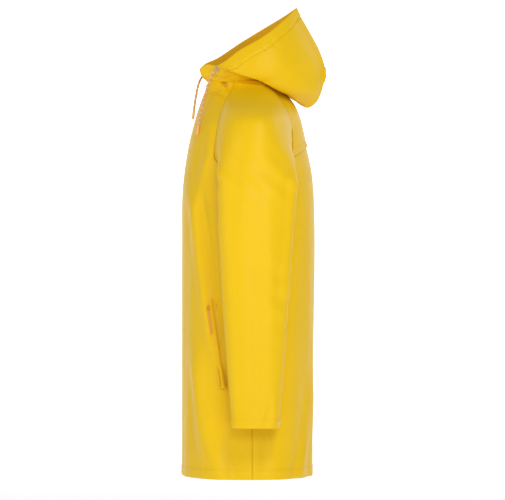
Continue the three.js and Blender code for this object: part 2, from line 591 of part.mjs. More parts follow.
function freeCord(route) {
  const path = curveThrough(route);
  const section = new THREE.Shape([...Array(CORD_SIDES).keys()].map((k) => {
    const angle = (k / CORD_SIDES) * 2 * Math.PI;
    return new THREE.Vector2(CORD_RADIUS * Math.cos(angle), CORD_RADIUS * Math.sin(angle));
  }));
  const steps = Math.round(path.getLength() / CORD_STEP);
  return new THREE.ExtrudeGeometry(section, { steps, extrudePath: path, bevelEnabled: false });
}
function cordTip(route) {
  const path = curveThrough(route);
  const spot = { point: path.getPoint(1), normal: path.getTangent(1) };
  const { radius, end, length, gap } = TIP;
  return turned([[0, 0], [radius, 0], [end, length - 1], [end - 0.8, length], [0, length]], spot, gap);
}
place('drawcord_left', freeCord(leftRoute), braid);
place('drawcord_right', mirrored(freeCord(rightRoute)), braid);
place('cord_tip_left', cordTip(leftRoute), braid);
place('cord_tip_right', mirrored(cordTip(rightRoute)), braid);

// ---- inside the neck ----------------------------------------------------------------
const TAPE_FOOT = 897;
const TAPE_HEAD = 913;
function neckTapePoint(u, v) {
  const z = lerp(TAPE_FOOT, TAPE_HEAD, v);
  const start = thetaAtX(27, z);
  return bodyPoint(lerp(start, 2 * Math.PI - start, u), z);
}
place('neck_tape', sheet(neckTapePoint, 24, 1, { thickness: 0.8, inset: FABRIC + 1 }), lining);

// The hanger loop is a strap sewn down at both ends, bowed away from the nape.
const LOOP = { half: 30, foot: 59.4, bow: 12, thickness: 2.2, bottom: 901, height: 8 };
function loopStrap() {
  const steps = 12;
  const line = (offset) => [...Array(steps + 1).keys()].map((k) => {
    const x = lerp(-LOOP.half, LOOP.half, k / steps);
    return new THREE.Vector2(x, LOOP.foot - offset - LOOP.bow * Math.cos((Math.PI * x) / (2 * LOOP.half)) ** 2);
  });
  const outline = new THREE.Shape([...line(LOOP.thickness), ...line(0).reverse()]);
  const strap = new THREE.ExtrudeGeometry(outline, { depth: LOOP.height, bevelEnabled: false });
  return strap.translate(0, 0, LOOP.bottom);
}
place('hanger_loop', loopStrap(), tape);

coat.position.copy(HANG_POINT).negate();
export default new THREE.Group().add(coat);
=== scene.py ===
import json
import math

import bpy
import numpy as np
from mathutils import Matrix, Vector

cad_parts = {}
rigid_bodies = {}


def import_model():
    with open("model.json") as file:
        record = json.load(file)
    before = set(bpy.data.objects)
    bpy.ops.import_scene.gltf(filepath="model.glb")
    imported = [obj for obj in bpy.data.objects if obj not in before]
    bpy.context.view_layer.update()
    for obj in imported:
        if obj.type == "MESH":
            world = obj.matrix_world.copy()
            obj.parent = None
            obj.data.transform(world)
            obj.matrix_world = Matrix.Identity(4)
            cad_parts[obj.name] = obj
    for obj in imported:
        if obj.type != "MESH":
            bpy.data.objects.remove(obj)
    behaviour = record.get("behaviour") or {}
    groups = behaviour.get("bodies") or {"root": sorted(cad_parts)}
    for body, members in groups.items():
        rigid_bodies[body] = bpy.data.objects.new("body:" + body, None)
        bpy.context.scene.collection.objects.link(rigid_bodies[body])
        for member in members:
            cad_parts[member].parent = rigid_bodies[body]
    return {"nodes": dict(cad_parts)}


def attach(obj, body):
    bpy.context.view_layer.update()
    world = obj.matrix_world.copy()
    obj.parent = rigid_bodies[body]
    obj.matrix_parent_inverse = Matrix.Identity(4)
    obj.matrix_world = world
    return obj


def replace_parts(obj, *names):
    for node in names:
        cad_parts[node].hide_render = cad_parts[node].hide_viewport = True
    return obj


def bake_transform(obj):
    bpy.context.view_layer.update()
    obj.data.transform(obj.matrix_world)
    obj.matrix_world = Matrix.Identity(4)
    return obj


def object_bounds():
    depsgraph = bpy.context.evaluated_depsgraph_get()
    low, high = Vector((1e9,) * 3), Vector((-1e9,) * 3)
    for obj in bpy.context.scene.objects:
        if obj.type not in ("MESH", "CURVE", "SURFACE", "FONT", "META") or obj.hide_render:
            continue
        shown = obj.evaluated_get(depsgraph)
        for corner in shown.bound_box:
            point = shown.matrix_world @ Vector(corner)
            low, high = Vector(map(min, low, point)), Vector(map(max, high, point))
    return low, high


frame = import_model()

cad_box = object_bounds()
HANG = np.array([0, 50, 905])
BODY_TOP = 916
UNDERARM = 690
CUFF_Z = 120
HEM_STITCH = 22
CUFF_STITCH = 20
FABRIC = 1.5
EDGE_DIP = 1.2
STITCH_PITCH = 4.2
STITCH_LENGTH = 2.9
STITCH_RADIUS = 0.42


def metres(points):
    return (np.asarray(points, float) - HANG) / 1000


# ---- camera ----------------------------------------------------------------------------
CAMERA_AWAY = 8.5
CAMERA_SIDE = -0.0372
CAMERA_HEIGHT = -0.3842
camera_data = bpy.data.cameras.new("camera")
camera_data.lens = 260
camera_data.sensor_width = 36
camera_data.clip_end = 200
camera = bpy.data.objects.new("camera", camera_data)
camera.location = (CAMERA_AWAY, CAMERA_SIDE, CAMERA_HEIGHT)
camera.rotation_euler = (math.radians(90), 0, math.radians(90))
bpy.context.scene.collection.objects.link(camera)
bpy.context.scene.camera = camera


bpy.context.scene.view_settings.view_transform = "Standard"


# ---- materials -------------------------------------------------------------------------
def material(name, colour, roughness, metallic=0.0, sheen=0.0, coat=0.0, spread=0.06,
             grain=900.0, bump=0.00006, crinkle=0.0, specular=0.5):
    """A surface with fine grain, slow crinkles, and a colour and roughness that vary a little."""
    m = bpy.data.materials.new(name)
    m.use_nodes = True
    tree = m.node_tree
    shader = tree.nodes["Principled BSDF"]
    shader.inputs["Metallic"].default_value = metallic
    shader.inputs["Specular IOR Level"].default_value = specular
    shader.inputs["Sheen Weight"].default_value = sheen
    shader.inputs["Sheen Roughness"].default_value = 0.4
    shader.inputs["Coat Weight"].default_value = coat
    shader.inputs["Coat Roughness"].default_value = 0.35
    place = tree.nodes.new("ShaderNodeTexCoord")

    def noise(scale, detail=3.0):
        n = tree.nodes.new("ShaderNodeTexNoise")
        n.inputs["Scale"].default_value = scale
        n.inputs["Detail"].default_value = detail
        tree.links.new(place.outputs["Object"], n.inputs["Vector"])
        return n.outputs["Fac"]

    blotch = noise(9.0)
    tint = tree.nodes.new("ShaderNodeMix")
    tint.data_type = "RGBA"
    tint.inputs["A"].default_value = (*[c * (1 - spread) for c in colour], 1)
    tint.inputs["B"].default_value = (*[min(1, c * (1 + spread)) for c in colour], 1)
    tree.links.new(blotch, tint.inputs["Factor"])
    tree.links.new(tint.outputs["Result"], shader.inputs["Base Color"])
    gloss = tree.nodes.new("ShaderNodeMapRange")
    gloss.inputs["To Min"].default_value = roughness - 0.07
    gloss.inputs["To Max"].default_value = roughness + 0.07
    tree.links.new(noise(40.0), gloss.inputs["Value"])
    tree.links.new(gloss.outputs["Result"], shader.inputs["Roughness"])
    fine = tree.nodes.new("ShaderNodeBump")
    fine.inputs["Distance"].default_value = bump
    tree.links.new(noise(grain, 2.0), fine.inputs["Height"])
    if crinkle:
        slow = tree.nodes.new("ShaderNodeBump")
        slow.inputs["Distance"].default_value = crinkle
        tree.links.new(noise(24.0, 2.0), slow.inputs["Height"])
        tree.links.new(slow.outputs["Normal"], fine.inputs["Normal"])
    tree.links.new(fine.outputs["Normal"], shader.inputs["Normal"])
    return m


def braided(name, colour, fleck, along, around):
    """A braided cord: slanting strands from two crossing waves, with rows of pale flecks."""
    m = material(name, colour, 0.62, sheen=0.3, grain=1500.0)
    tree = m.node_tree
    shader = tree.nodes["Principled BSDF"]
    run = tree.nodes.new("ShaderNodeAttribute")
    run.attribute_name = "run"
    split = tree.nodes.new("ShaderNodeSeparateXYZ")
    tree.links.new(run.outputs["Vector"], split.inputs["Vector"])

    def maths(kind, a, b):
        n = tree.nodes.new("ShaderNodeMath")
        n.operation = kind
        for socket, value in zip(n.inputs, (a, b)):
            if isinstance(value, (int, float)):
                socket.default_value = value
            else:
                tree.links.new(value, socket)
        return n.outputs["Value"]

    turns = maths("MULTIPLY", split.outputs["X"], 2 * math.pi * around)
    steps = maths("MULTIPLY", split.outputs["Y"], 2 * math.pi / along)
    one = maths("SINE", maths("ADD", turns, steps), 0)
    two = maths("SINE", maths("SUBTRACT", turns, steps), 0)
    strands = maths("MULTIPLY", one, two)
    spots = maths("GREATER_THAN", maths("SINE", maths("MULTIPLY", steps, 0.5), 0), 0.62)
    pairs = maths("GREATER_THAN", maths("SINE", turns, 0), 0.25)
    pale = maths("MULTIPLY", spots, pairs)
    mix = tree.nodes.new("ShaderNodeMix")
    mix.data_type = "RGBA"
    mix.inputs["B"].default_value = (*fleck, 1)
    tree.links.new(shader.inputs["Base Color"].links[0].from_socket, mix.inputs["A"])
    tree.links.new(pale, mix.inputs["Factor"])
    tree.links.new(mix.outputs["Result"], shader.inputs["Base Color"])
    weave = tree.nodes.new("ShaderNodeBump")
    weave.inputs["Distance"].default_value = 0.0005
    tree.links.new(strands, weave.inputs["Height"])
    tree.links.new(shader.inputs["Normal"].links[0].from_socket, weave.inputs["Normal"])
    tree.links.new(weave.outputs["Normal"], shader.inputs["Normal"])
    return m


YELLOW = (0.87, 0.545, 0.002)
coated = material("coated_fabric", YELLOW, 0.46, spread=0.03, crinkle=0.0010, specular=0.22)
knit = material("fabric_inside", (0.90, 0.52, 0.006), 0.85, sheen=0.3, spread=0.09, grain=1300.0, bump=0.0004)
thread = material("thread", (0.80, 0.47, 0.01), 0.6, grain=2500.0, specular=0.3)
woven = material("woven_tape", (0.70, 0.36, 0.012), 0.8, sheen=0.3, grain=1600.0, bump=0.0004)
moulded = material("zip_plastic", (0.80, 0.44, 0.01), 0.4, grain=500.0, specular=0.35)
tip_plastic = material("cord_tip", (0.90, 0.50, 0.14), 0.4, grain=500.0)
steel = material("metal_trim", (0.60, 0.60, 0.62), 0.27, metallic=1.0, spread=0.1, grain=350.0)
cord_near = braided("cord", (0.88, 0.42, 0.10), (0.93, 0.86, 0.72), 0.0062, 4)


# ---- drawcord --------------------------------------------------------------------------
def curve_through(points, count):
    """A centripetal curve through the points, evenly stepped along its length."""
    p = np.asarray(points, float)
    p = np.vstack([2 * p[0] - p[1], p, 2 * p[-1] - p[-2]])
    dense = []
    for a, b, c, d in zip(p, p[1:], p[2:], p[3:]):
        k = np.cumsum([0] + [np.linalg.norm(q - r) ** 0.5 for q, r in ((b, a), (c, b), (d, c))])
        t = np.linspace(k[1], k[2], 24, endpoint=False)[:, None]

        def mix(f, g, i, j):
            return (k[j] - t) / (k[j] - k[i]) * f + (t - k[i]) / (k[j] - k[i]) * g

        ab, bc, cd = mix(a, b, 0, 1), mix(b, c, 1, 2), mix(c, d, 2, 3)
        dense.append(mix(mix(ab, bc, 0, 2), mix(bc, cd, 1, 3), 1, 2))
    dense = np.vstack([*dense, p[-2]])
    reach = np.concatenate([[0], np.cumsum(np.linalg.norm(np.diff(dense, axis=0), axis=1))])
    at = np.linspace(0, reach[-1], count)
    return np.stack([np.interp(at, reach, dense[:, i]) for i in range(3)], 1)


def unit(v):
    return v / np.maximum(np.linalg.norm(v, axis=-1, keepdims=True), 1e-12)


def mesh_object(name, points, faces, materials, paint=None, run=None, smooth=True):
    """An object from garment millimetres."""
    mesh = bpy.data.meshes.new(name)
    mesh.from_pydata([tuple(p) for p in metres(points)], [], [tuple(int(i) for i in f) for f in faces])
    for m in materials:
        mesh.materials.append(m)
    if paint is not None:
        mesh.polygons.foreach_set("material_index", np.asarray(paint, np.int32))
    if run is not None:
        attribute = mesh.attributes.new("run", "FLOAT_VECTOR", "POINT")
        attribute.data.foreach_set("vector", np.asarray(run, np.float32).ravel())
    if smooth:
        mesh.polygons.foreach_set("use_smooth", [True] * len(mesh.polygons))
    mesh.update()
    obj = bpy.data.objects.new(name, mesh)
    bpy.context.scene.collection.objects.link(obj)
    return obj


def tube(path, radii, sides):
    """Points, faces and (around, along) of a capped tube with a radius at each path point."""
    path = np.asarray(path, float)
    tangent = unit(np.gradient(path, axis=0))
    side = unit(np.cross(tangent[0], [0.3, 0.5, 0.8]))
    rings, run, reach = [], [], 0.0
    for i, (p, t) in enumerate(zip(path, tangent)):
        side = unit(side - t * np.dot(side, t))
        other = np.cross(t, side)
        angle = np.arange(sides) / sides * 2 * math.pi
        rings.append(p + radii[i] * (np.cos(angle)[:, None] * side + np.sin(angle)[:, None] * other))
        reach += np.linalg.norm(path[i] - path[i - 1]) / 1000 if i else 0.0
        run += [(k / sides, reach, 0) for k in range(sides)]
    faces = [(i * sides + k, i * sides + (k + 1) % sides, (i + 1) * sides + (k + 1) % sides, (i + 1) * sides + k)
             for i in range(len(path) - 1) for k in range(sides)]
    faces.append(tuple(reversed(range(sides))))
    faces.append(tuple(range((len(path) - 1) * sides, len(path) * sides)))
    return np.vstack(rings), faces, run


CORD_RADIUS = 2.7
LEFT_ROUTE = [
    (73.2, -69.8, 939.9), (75.2, -71.8, 938.9), (77.8, -74.4, 936.9), (79.5, -76.6, 933.8), (80.4, -78.3, 929.8),
    (80.8, -80.8, 923.4), (81.1, -84.6, 914), (81.6, -89, 903), (82.4, -93.2, 890.5), (83.8, -97, 877),
    (86, -100.4, 862.5), (89.2, -103.4, 848.5), (93, -106.4, 834.5), (96.9, -109.3, 821), (99.8, -111.2, 809.5)]
RIGHT_ROUTE = [
    (-71.8, -71.9, 944), (-73.2, -73.2, 943.6), (-75.9, -77.4, 942.3), (-76.4, -82.1, 940.8), (-74.6, -86.7, 939.3),
    (-70.4, -92.9, 937), (-65.4, -99, 933.4), (-60.6, -104.4, 928.4), (-56.4, -109, 921.4), (-53, -112.7, 912.4),
    (-50.3, -115.7, 901.6), (-48.2, -118.2, 889.8), (-46.7, -120.4, 877), (-45.7, -122.3, 864.2), (-45.1, -123.8, 852)]
TIP_OUTLINE = [(0.4, 2.75), (1.2, 3.1), (12, 3.15), (22, 3.35), (24.6, 3.2), (25.3, 2.4)]
for side, route in (("left", LEFT_ROUTE), ("right", RIGHT_ROUTE)):
    path = curve_through(route, 120)
    points, faces, run = tube(path, [CORD_RADIUS] * len(path), 16)
    cord = mesh_object(f"drawcord_{side}_braid", points, faces, [cord_near], run=run)
    end = unit(path[-1] - path[-2])
    spots = [path[-1] + end * along for along, _ in TIP_OUTLINE]
    points, faces, run = tube(spots, [radius for _, radius in TIP_OUTLINE], 20)
    tip = mesh_object(f"cord_tip_{side}_moulded", points, faces, [tip_plastic])
    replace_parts(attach(cord, "coat"), f"drawcord_{side}")
    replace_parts(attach(tip, "coat"), f"cord_tip_{side}")


# ---- garment surfaces ------------------------------------------------------------------
def profile(pairs):
    """A smooth curve through (height, value) pairs that never overshoots them."""
    x = np.array([p[0] for p in pairs], float)
    y = np.array([p[1] for p in pairs], float)
    slope = np.diff(y) / np.diff(x)
    product = slope[:-1] * slope[1:]
    total = slope[:-1] + slope[1:]
    inner = np.where(product > 0, 2 * product / np.where(total == 0, 1, total), 0)
    tangent = np.concatenate([slope[:1], inner, slope[-1:]])

    def value(at):
        at = np.asarray(at, float)
        i = np.clip(np.searchsorted(x, at) - 1, 0, len(x) - 2)
        span = x[i + 1] - x[i]
        t = np.clip((at - x[i]) / span, 0, 1)
        rise = t * t * (3 - 2 * t)
        return ((1 - rise) * y[i] + rise * y[i + 1] + (t ** 3 - 2 * t * t + t) * span * tangent[i]
                + (t ** 3 - t * t) * span * tangent[i + 1])
    return value


def signed_power(value, power):
    return np.sign(value) * np.abs(value) ** power


def smooth(value, low, high):
    t = np.clip((value - low) / (high - low), 0, 1)
    return t * t * (3 - 2 * t)


def lerp(a, b, t):
    return a + (b - a) * t


FRONT_Y = -151.5
ZIP_ARC_RADIUS = 780
ZIP_ARC_START = 608
back_line = profile([
    (0, 152), (300, 155), (540, 158), (640, 156), (700, 151), (740, 143), (777, 134), (824, 123), (852, 112),
    (870, 100), (885, 87), (900, 76), (BODY_TOP, 69)])
half_width = profile([
    (0, 245), (300, 228), (600, 214), (UNDERARM, 211), (735, 209), (801, 203), (834, 172), (863, 127),
    (883, 96), (900, 75), (BODY_TOP, 66)])
roundness = profile([(0, 2.35), (600, 2.3), (780, 1.95), (BODY_TOP, 2.1)])
SIDE_SEAM_Y = 13
front_seam_line = profile([
    (UNDERARM, 13), (702, -36), (716, -62), (735, -75), (760, -73), (801, -66), (834, -59), (863, -48),
    (883, -39), (900, -31), (BODY_TOP, -27)])
back_seam_line = profile([
    (UNDERARM, 13), (702, 62), (716, 90), (735, 101), (760, 104), (801, 102), (834, 95), (863, 81), (883, 68),
    (900, 56), (BODY_TOP, 47)])


def section(z):
    z = np.asarray(z, float)
    rise = np.maximum(z - ZIP_ARC_START, 0)
    front = FRONT_Y + ZIP_ARC_RADIUS - np.sqrt(ZIP_ARC_RADIUS ** 2 - rise ** 2)
    back = back_line(z)
    return half_width(z), (front + back) / 2, (back - front) / 2, 2 / roundness(z)


def body_point(theta, z):
    half, middle, depth, power = section(z)
    x = half * signed_power(np.sin(theta), power)
    y = middle - depth * signed_power(np.cos(theta), power)
    return np.stack([x, y, np.broadcast_to(z, x.shape)], -1)


def theta_at_x(x, z):
    half, _, _, power = section(z)
    return np.arcsin((x / half) ** (1 / power))


def theta_at_y(y, z):
    _, middle, depth, power = section(z)
    return np.arccos(signed_power(np.clip((middle - y) / depth, -1, 1), 1 / power))


def seam_at(line, z):
    return np.where(z < UNDERARM, SIDE_SEAM_Y, line(z))


# ---- cloth -----------------------------------------------------------------------------
class Cloth:
    """Sheets of fabric on grids. Grid corners that meet are one point, so they shade as one."""

    def __init__(self):
        self.grids = []

    def patch(self, surface, us, vs):
        """surface(u, v) gives points on a grid, with du x dv pointing outwards."""
        u, v = np.meshgrid(us, vs)
        self.grids.append((np.asarray(surface(u, v), float), np.asarray(us, float), np.asarray(vs, float)))
        return len(self.grids) - 1

    def weld(self):
        every = np.vstack([g[0].reshape(-1, 3) for g in self.grids])
        _, first, inverse = np.unique(np.round(every, 2), axis=0, return_index=True, return_inverse=True)
        self.points = every[first]
        inverse = np.asarray(inverse).ravel()
        self.ids, self.u, self.v = [], np.zeros(len(first)), np.zeros(len(first))
        self.grid = np.zeros(len(first), int)
        start, faces = 0, []
        for k, (p, us, vs) in enumerate(self.grids):
            rows, columns = p.shape[:2]
            ids = inverse[start:start + rows * columns].reshape(rows, columns)
            start += rows * columns
            self.ids.append(ids)
            uu, vv = np.meshgrid(us, vs)
            self.u[ids], self.v[ids], self.grid[ids] = uu, vv, k
            faces.append(np.stack([ids[:-1, :-1], ids[:-1, 1:], ids[1:, 1:], ids[1:, :-1]], -1).reshape(-1, 4))
        self.faces = np.vstack(faces)
        self.face_normals()
        self.cut_area = self.area()
        self.widths = [self.longest(g[0]) for g in self.grids]
        self.lengths = [self.longest(g[0].swapaxes(0, 1)) for g in self.grids]

    def longest(self, rows):
        """The longest row of a grid, in metres."""
        return float(np.linalg.norm(np.diff(rows, axis=1), axis=2).sum(1).max() / 1000)

    def area(self):
        p = self.points[self.faces] / 1000
        return float(np.linalg.norm(np.cross(p[:, 2] - p[:, 0], p[:, 3] - p[:, 1]), axis=1).sum() / 2)

    def face_normals(self):
        p = self.points[self.faces]
        n = np.cross(p[:, 2] - p[:, 0], p[:, 3] - p[:, 1])
        self.normals = np.zeros_like(self.points)
        for corner in range(4):
            np.add.at(self.normals, self.faces[:, corner], n)
        self.normals = unit(self.normals)

    def shape(self, folds):
        """Pushes each point out along its normal by folds(points, u, v, grid) millimetres."""
        out = folds(self.points, self.u, self.v, self.grid)
        self.points = self.points + self.normals * np.asarray(out)[:, None]
        self.face_normals()

    def relax(self, weight, passes):
        """Evens out the surface where weight(points) is above 0, and leaves its open edges alone."""
        pairs = np.vstack([self.faces[:, [i, (i + 1) % 4]] for i in range(4)])
        pairs = pairs[pairs[:, 0] != pairs[:, 1]]
        key = np.sort(pairs, 1)
        _, first, count = np.unique(key, axis=0, return_index=True, return_counts=True)
        edges = key[first]
        share = np.asarray(weight(self.points), float)
        share[np.unique(edges[count == 1])] = 0
        for _ in range(passes):
            total, number = np.zeros_like(self.points), np.zeros(len(self.points))
            for a, b in ((0, 1), (1, 0)):
                np.add.at(total, edges[:, a], self.points[edges[:, b]])
                np.add.at(number, edges[:, a], 1)
            mean = total / np.maximum(number, 1)[:, None]
            self.points = self.points + 0.6 * share[:, None] * (mean - self.points)
        self.face_normals()

    def line(self, k, us, vs, lift=0.0):
        """Points and normals along a path in (u, v) on grid k."""
        _, gu, gv = self.grids[k]
        us, vs = np.broadcast_arrays(np.asarray(us, float), np.asarray(vs, float))
        i = np.clip(np.searchsorted(gu, us) - 1, 0, len(gu) - 2)
        j = np.clip(np.searchsorted(gv, vs) - 1, 0, len(gv) - 2)
        a = ((us - gu[i]) / (gu[i + 1] - gu[i]))[:, None]
        b = ((vs - gv[j]) / (gv[j + 1] - gv[j]))[:, None]
        ids = self.ids[k]

        def mix(values):
            return lerp(lerp(values[ids[j, i]], values[ids[j, i + 1]], a),
                        lerp(values[ids[j + 1, i]], values[ids[j + 1, i + 1]], a), b)
        normals = unit(mix(self.normals))
        return mix(self.points) + normals * lift, normals

    def make(self, name, materials=None, thickness=FABRIC):
        faces = [tuple(dict.fromkeys(f)) for f in self.faces.tolist()]
        obj = mesh_object(name, self.points, [f for f in faces if len(f) > 2], materials or [coated, knit])
        wall = obj.modifiers.new("wall", "SOLIDIFY")
        wall.thickness = thickness / 1000
        wall.offset = -1
        wall.use_even_offset = False
        wall.material_offset = 1
        graph = bpy.context.evaluated_depsgraph_get()
        mesh = bpy.data.meshes.new_from_object(obj.evaluated_get(graph))
        obj.modifiers.clear()
        obj.data = mesh
        return obj


def stitches(name, lines):
    """Sewn rows: one slim bead for each stitch, half sunk into the fabric along each line."""
    around = np.arange(6) / 6 * 2 * math.pi
    shape = [(-0.5, 0.35), (-0.3, 0.9), (0.3, 0.9), (0.5, 0.35)]
    points, faces = [], []
    for line, normals in lines:
        steps = np.linalg.norm(np.diff(line, axis=0), axis=1)
        reach = np.concatenate([[0], np.cumsum(steps)])
        for at in np.arange(STITCH_PITCH / 2, reach[-1], STITCH_PITCH):
            spot = np.array([np.interp(at, reach, line[:, k]) for k in range(3)])
            ahead = np.array([np.interp(min(at + 1, reach[-1]), reach, line[:, k]) for k in range(3)])
            out = unit(np.array([np.interp(at, reach, normals[:, k]) for k in range(3)]))
            forward = unit(ahead - spot)
            side = np.cross(forward, out)
            base = len(points)
            for along, size in shape:
                for angle in around:
                    points.append(spot + forward * along * STITCH_LENGTH + out * 0.1
                                  + (side * math.cos(angle) + out * math.sin(angle)) * size * STITCH_RADIUS)
            for ring in range(3):
                for k in range(6):
                    a, b = base + ring * 6 + k, base + ring * 6 + (k + 1) % 6
                    faces.append((a, b, b + 6, a + 6))
            faces.append(tuple(base + k for k in reversed(range(6))))
            faces.append(tuple(base + 18 + k for k in range(6)))
    return mesh_object(name, points, faces, [thread])


def sewn(cloth, width=None, length=None):
    """Takes a sheet's width and length, by default the longest of its smooth shape before the folds, and does nothing
    more with them.
    """
    width = width or cloth.widths[0]
    length = length or cloth.lengths[0]


def crease(points, route, width, height, ends=70):
    """A soft ridge, or a valley where height is negative, along a route of (y, z) points."""
    y, z = points[:, 1], points[:, 2]
    zs = [p[1] for p in route]
    middle = np.interp(z, zs, [p[0] for p in route])
    fade = smooth(z, zs[0] - ends, zs[0] + ends * 0.4) * (1 - smooth(z, zs[-1] - ends * 0.4, zs[-1] + ends))
    return height * np.exp(-((y - middle) / width) ** 2) * fade


# ---- body ------------------------------------------------------------------------------
BODY_ROWS = np.concatenate([np.linspace(0, 30, 13)[:-1], np.linspace(30, 680, 100)[:-1], np.linspace(680, BODY_TOP, 76)])
RIDGES = [
    ([(-66, 261), (-84, 325), (-98, 425), (-127, 635)], 12, 7.5), ([(-57, 330), (-72, 407), (-86, 516), (-106, 640)], 11, -7.5),
    ([(-59, 6), (-93, 102), (-121, 261)], 18, 8.5), ([(-28, -10), (-40, 120), (-46, 260)], 15, -4.5),
    ([(-112, -10), (-124, 110), (-132, 260)], 11, -4.5), ([(119, 2), (139, 88), (146, 190)], 8, 4.2),
    ([(104, -5), (122, 90), (132, 180)], 8, -3.8), ([(62, -10), (74, 140), (78, 330)], 22, 4.0),
    ([(36, -10), (44, 160), (40, 330)], 18, -3.6), ([(-118, 610), (-104, 690), (-84, 748)], 10, 3.2),
    ([(-130, 560), (-122, 680), (-104, 780)], 12, -3.0)]
HIDDEN_SWAP = 0.72


def body_folds(points, u, v, grid):
    z = points[:, 2]
    turn = np.arctan2(points[:, 0], -points[:, 1])
    out = np.zeros(len(points))
    for route, width, height in RIDGES:
        out += crease(points, route, width, height) * np.where(points[:, 0] > 0, 1, HIDDEN_SWAP)
    slack = 1 - smooth(z, 120, 690)
    sway = np.sin(7 * turn + 0.9) + 0.6 * np.sin(12 * turn + z / 170) + 0.4 * np.sin(19 * turn - z / 120 + 2)
    out += 1.5 * slack * sway * smooth(np.abs(points[:, 0]), 26, 90)
    away = np.abs(points[:, 0])
    forward = smooth(-points[:, 1], 26, 58) * smooth(away, 14, 30)
    gather = np.exp(-((z - 908) / 26) ** 2) * forward
    path = away * 0.6 - points[:, 1] * 0.8
    out += 5.2 * gather * (np.sin(path * 0.30 + 0.4) + 0.4 * np.sin(path * 0.67 + 1.8))
    out -= 3.0 * np.exp(-((z - 884 + 0.12 * points[:, 1]) / 4.5) ** 2) * forward
    return out


def hem(z, level, height=0.9):
    """The doubled fabric of a turned-up edge, with the dip of its stitch row."""
    return height * (1 - smooth(z, level, level + 3)) - 0.7 * np.exp(-((z - level) / 1.6) ** 2)


def seam_dip(u, width=0.012):
    return -EDGE_DIP * (np.exp(-(u / width) ** 2) + np.exp(-((1 - u) / width) ** 2))


def side_sign(cloth_surface, sign):
    """The surface on the wearer's left, or its mirror image on the right."""
    def surface(u, v):
        p = cloth_surface(1 - u if sign < 0 else u, v)
        p[..., 0] *= sign
        return p
    return surface


def front_surface(u, v):
    start = theta_at_x(12.0, v)
    end = theta_at_y(seam_at(front_seam_line, v), v)
    return body_point(lerp(start, end, u), v)


def back_surface(u, v):
    start = theta_at_y(seam_at(back_seam_line, v), v)
    return body_point(lerp(start, 2 * math.pi - start, u), v)


for sign, side in ((1, "left"), (-1, "right")):
    front = Cloth()
    columns = np.linspace(0, 1, 85)
    k = front.patch(side_sign(front_surface, sign), columns, BODY_ROWS)
    front.weld()
    front.shape(body_folds)
    front.shape(lambda p, u, v, g: hem(p[:, 2], HEM_STITCH) + seam_dip(u, 0.010))
    edge = 0.016 if sign > 0 else 0.984
    piece = front.make(f"{side}_front_cloth")
    seam = 0.987 if sign > 0 else 0.013
    heights = np.linspace(4, 908, 400)
    across = np.linspace(0.01, 0.99, 240)
    sewing = stitches(f"{side}_front_stitching", [
        front.line(k, across, HEM_STITCH), front.line(k, edge + (0.022 if sign > 0 else -0.022), heights),
        front.line(k, seam, np.linspace(700, 905, 120))])
    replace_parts(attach(piece, "coat"), f"{side}_front_panel", f"{side}_front_hem_facing")
    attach(sewing, "coat")
    sewn(front)

back = Cloth()
k = back.patch(back_surface, np.linspace(0, 1, 150), BODY_ROWS)
back.weld()
back.shape(body_folds)
back.shape(lambda p, u, v, g: hem(p[:, 2], HEM_STITCH) + seam_dip(u, 0.006))
piece = back.make("back_cloth")
sewing = stitches("back_stitching", [
    back.line(k, np.linspace(0.005, 0.995, 420), HEM_STITCH), back.line(k, 0.008, np.linspace(700, 905, 120)),
    back.line(k, 0.992, np.linspace(700, 905, 120))])
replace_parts(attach(piece, "coat"), "back_panel", "back_hem_facing")
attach(sewing, "coat")
sewn(back)

# The yoke lies over the back with its lower edge open and two rows of stitches above it.
YOKE_LIFT = 2.6


def yoke_surface(u, v):
    lower = lerp(733.0, 762.0, np.sin(math.pi * u))
    z = lerp(lower, 900.0, v)
    start = theta_at_y(back_seam_line(z), z) + 0.006
    return body_point(lerp(start, 2 * math.pi - start, u), z)


yoke = Cloth()
k = yoke.patch(yoke_surface, np.linspace(0, 1, 110), np.linspace(0, 1, 60))
yoke.weld()
yoke.shape(body_folds)
yoke.shape(lambda p, u, v, g: YOKE_LIFT + 1.6 * np.exp(-(v / 0.05) ** 2) - 0.8 * np.exp(-((v - 0.10) / 0.012) ** 2) - 2.2 * smooth(v, 0.93, 1))
piece = yoke.make("yoke_cloth")
sewing = stitches("yoke_stitching", [yoke.line(k, np.linspace(0.01, 0.99, 300), level) for level in (0.05, 0.10)])
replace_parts(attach(piece, "coat"), "back_yoke")
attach(sewing, "coat")
sewn(yoke)


# ---- sleeves ---------------------------------------------------------------------------
ARM_PIVOT_Y = 26
ARM_PIVOT_Z = 750
ARM_CUT = 108
ARM_POWER = 0.9
CAP_CORNER = math.radians(42)
CAP_BOTTOM = 0.16
arm_centre = profile([(CUFF_Z, 291), (300, 286), (500, 280), (700, 276), (BODY_TOP, 276)])
arm_half = profile([(CUFF_Z, 37), (300, 42), (500, 47), (700, 50), (BODY_TOP, 50)])
arm_front = profile([(CUFF_Z, -33), (264, -45), (453, -58), (620, -67), (700, -70), (800, -70)])
arm_back = profile([(CUFF_Z, 72), (217, 81), (311, 88), (453, 97), (580, 106), (640, 115), (700, 120), (800, 120)])
SHOULDER_LINE = curve_through([
    (326, 26, 690), (326, 26, 735), (320, 26, 775), (298, 27, 815), (258, 27, 842), (205, 28, 861), (150, 28, 879),
    (105, 28, 895), (76, 28, 913)], 400)


def arm_point(theta, z):
    front, behind = arm_front(z), arm_back(z)
    x = arm_centre(z) + arm_half(z) * signed_power(np.sin(theta), ARM_POWER)
    y = (front + behind) / 2 - (behind - front) / 2 * signed_power(np.cos(theta), ARM_POWER)
    return np.stack([x, y, np.broadcast_to(z, x.shape)], -1)


